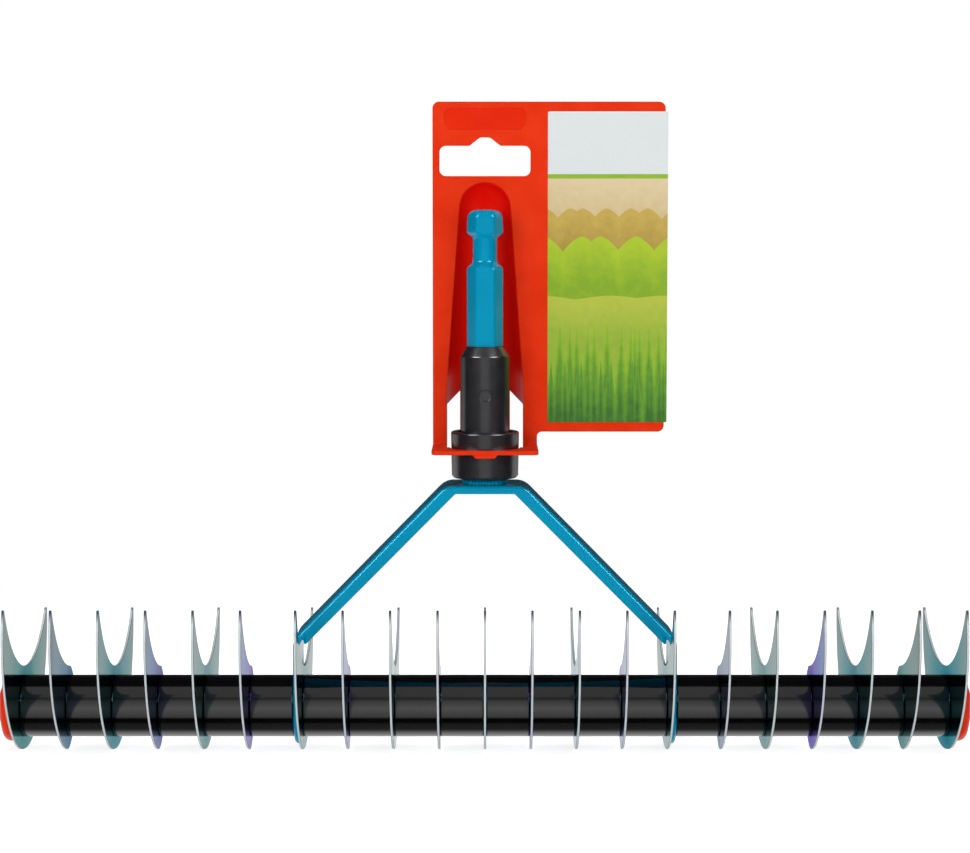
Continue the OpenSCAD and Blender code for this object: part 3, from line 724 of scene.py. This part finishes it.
def stack(name, blank_node, nodes, radius_mm, segments, finish, seed):
    """Copies one blank to the places of several solids."""
    blank = rolled_copy(blank_node, name, radius_mm, segments)
    for corner in blank.data.vertices:
        corner.co.x -= middle(blank_node)
    bush_low, bush_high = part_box("pivot_bush_right")
    bush_length = bush_high.x - bush_low.x
    reach = middle(nodes[-1]) - bush_length
    values = {"Count": len(nodes), "First Place": -reach, "Pitch": 2 * reach / (len(nodes) - 1),
              "Ear Place": middle("pivot_bush_right"), "Bush Length": bush_length, "Seed": seed,
              "Finish": finish}
    tree, sizes = stack_tree(name + " along the axle")
    rows = blank.modifiers.new("stack", "NODES")
    rows.node_group = tree
    for title, value in values.items():
        rows[sizes[title]] = value
    finish_piece(plain_mesh(blank), finish, "head", nodes)


BLADES = sorted(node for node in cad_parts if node.startswith("blade_"))
SPACERS = sorted(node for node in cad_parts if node.startswith("spacer_"))
BLADE_EDGE_MM = 0.3
SPACER_EDGE_MM = 0.7
stack("two_horned_blades", "blade_11", BLADES[0::2], BLADE_EDGE_MM, segments=2, finish=teal_zinc,
      seed=3)
stack("one_horned_blades", "blade_10", BLADES[1::2], BLADE_EDGE_MM, segments=2, finish=violet_zinc,
      seed=7)
stack("gloss_spacers", "spacer_10", SPACERS, SPACER_EDGE_MM, segments=3, finish=gloss_black,
      seed=5)

# %% [markdown]
# ## The studio
# The picture was taken in a white cove with a wide soft light in front. A polished black tube shows
# exactly what stands round it: grey where it mirrors the front light, black where it mirrors the dark
# room above and below, and a white line at its foot where it mirrors the cove. So the world is that
# room, by the angle of each direction round the axle, with dark walls far out on both sides, and the
# camera sees plain white.

# %% World
ROOM = [(-180, "#262626"), (-174, "#303030"), (-171.5, "#E6E6E6"), (-169, "#FFFFFF"), (-150, "#FFFFFF"),
        (-112, "#F9F9F9"), (-104, "#D8D8D8"), (-97, "#A8A8A8"), (-88, "#626262"), (-60, "#585858"),
        (-55, "#191919"), (-38, "#191919"), (-33, "#AEAEAE"), (-15, "#CECECE"), (0, "#E7E7E7"),
        (14, "#CECECE"), (29, "#AEAEAE"), (34, "#7C7C7C"), (40, "#7C7C7C"), (45, "#A2A2A2"),
        (83, "#A2A2A2"), (88, "#202020"), (150, "#202020"), (156, "#484848"), (169, "#484848"),
        (173, "#303030"), (180, "#303030")]
FRONT_FALL = [(0.25, "#FFFFFF"), (0.42, "#8A8A8A"), (0.75, "#5A5A5A"), (0.97, "#2A2A2A")]
BACK_FALL = [(0.92, "#FFFFFF"), (0.97, "#2A2A2A")]
FRONT_BLEND = -0.25

world = bpy.data.worlds.new("studio")
world.use_nodes = True
scene.world = world
room = world.node_tree
room.nodes.clear()
look = add(room, "ShaderNodeSeparateXYZ", {0: add(room, "ShaderNodeTexCoord").outputs["Generated"]})
front = calculate(room, "MULTIPLY", look.outputs["Y"], -1)
turn = calculate(room, "ARCTAN2", look.outputs["Z"], front)
walls = tones(room, remap(room, turn, -math.pi, math.pi),
              [((angle + 180) / 360, tone) for angle, tone in ROOM])
aside = calculate(room, "ABSOLUTE", look.outputs["X"])
ahead = remap(room, front, FRONT_BLEND, 0)
fall = mix(room, ahead, tones(room, aside, BACK_FALL), tones(room, aside, FRONT_FALL))
dimmed = mix(room, 1, walls, fall, blend_type="MULTIPLY")
path = add(room, "ShaderNodeLightPath").outputs
seen = calculate(room, "MAXIMUM", path["Is Camera Ray"], path["Is Transmission Ray"])
sky = add(room, "ShaderNodeBackground", {"Color": mix(room, seen, dimmed, srgb("#FFFFFF"))})
add(room, "ShaderNodeOutputWorld", {"Surface": sky.outputs[0]})
scene.view_settings.view_transform = "Standard"
print(f"room of {len(ROOM)} tones")

# %% [markdown]
# ## Lamps
# Two wide soft lamps stand well in front, the stronger one on the left, to give the round parts a turn
# from light to shade, one hangs overhead for the faces that look up, and a weak one lights the back.
# They don't show in mirrors, because the room already holds the lights that do. Two panels high up on
# both sides show in mirrors only. The tube along X can't mirror them, nor can the upright sleeve, but
# the sloping edges of the yoke do, and that draws the bright line along them.

# %% Lamps
MIDDLE = Vector((0, 0, 0))
PANEL_ASIDE = 1.9
PANEL_PLACE = (-1.9, 1.65)
PANEL_SIDE = 1.5
PANEL_WATTS = 125


def soft_lamp(name, place, side, watts, only_mirrored=False):
    """A square lamp that looks at the rake's middle."""
    lamp = bpy.data.objects.new(name, bpy.data.lights.new(name, "AREA"))
    lamp.data.shape = "SQUARE"
    lamp.data.size = side
    lamp.data.energy = watts
    lamp.location = place
    lamp.rotation_euler = (MIDDLE - Vector(place)).to_track_quat("-Z", "Y").to_euler()
    lamp.visible_glossy = only_mirrored
    lamp.visible_diffuse = not only_mirrored
    lamp.visible_camera = False
    scene.collection.objects.link(lamp)
    print(f"{name}: {watts} W")


soft_lamp("key", (-1.4, -3.2, 0.5), side=1.4, watts=42)
soft_lamp("fill", (1.6, -3.0, 0.3), side=1.4, watts=24)
soft_lamp("overhead", (0, 0.2, 2.2), side=2.0, watts=36)
soft_lamp("back", (0.6, 2.8, 0.9), side=1.4, watts=20)
for name, side in (("left_panel", -1), ("right_panel", 1)):
    soft_lamp(name, (side * PANEL_ASIDE, *PANEL_PLACE), PANEL_SIDE, PANEL_WATTS, only_mirrored=True)

# %% [markdown]
# ## The floor
# A pale floor meets the blades' undersides. Near the rake it is a white surface that keeps the shadow
# and has some light of its own, more of it towards the camera. Further out it turns into the white of
# the background, so no horizon shows. Mirrors see the white of the cove in its place.

# %% Floor
FLOOR_RADIUS = 4.0
FADE_FROM = 0.3
FADE_TO = 0.75
LIFT = 0.8
GLOW = 0.35

bpy.ops.mesh.primitive_circle_add(vertices=96, radius=FLOOR_RADIUS, fill_type="NGON")
floor = bpy.context.object
floor.name = "floor"
floor.location.z = CAD_BOX[0].z
floor.visible_glossy = False
finish = bpy.data.materials.new("floor, matt white paper")
finish.use_nodes = True
paper = finish.node_tree
paper.nodes.clear()
spot = add(paper, "ShaderNodeTexCoord").outputs["Object"]
away = add(paper, "ShaderNodeVectorMath", {0: spot}, operation="LENGTH")
fade = remap(paper, away.outputs["Value"], FADE_FROM, FADE_TO, interpolation_type="SMOOTHSTEP")
sight = add(paper, "ShaderNodeLightPath").outputs
matt = add(paper, "ShaderNodeBsdfDiffuse", {"Color": srgb("#E6E6E6")})
lift = add(paper, "ShaderNodeEmission", {"Color": srgb("#FFFFFF"), "Strength": LIFT})
lit = add(paper, "ShaderNodeAddShader", {0: matt.outputs[0], 1: lift.outputs[0]})
white = add(paper, "ShaderNodeEmission", {"Color": srgb("#FFFFFF"), "Strength": 1.0})
faded = add(paper, "ShaderNodeMixShader", {
    0: fade, 1: lit.outputs[0], 2: white.outputs[0]})
glow = add(paper, "ShaderNodeEmission", {"Color": srgb("#FFFFFF"), "Strength": GLOW})
bounce = add(paper, "ShaderNodeAddShader", {0: matt.outputs[0], 1: glow.outputs[0]})
either = add(paper, "ShaderNodeMixShader", {
    0: sight["Is Camera Ray"], 1: bounce.outputs[0], 2: faded.outputs[0]})
add(paper, "ShaderNodeOutputMaterial", {"Surface": either.outputs[0]})
floor.data.materials.append(finish)
floor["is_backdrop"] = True
print("floor at", round(floor.location.z / MM, 1), "mm")

# %% [markdown]
# ## Sizes
# The finished pieces have to keep to the solids' box, so both boxes are written down side by side.

# %% Write the sizes and finish
boxes = {"cad": CAD_BOX, "visual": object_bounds()}
for name, (low, high) in boxes.items():
    print(name, [round(length / MM, 1) for length in high - low])
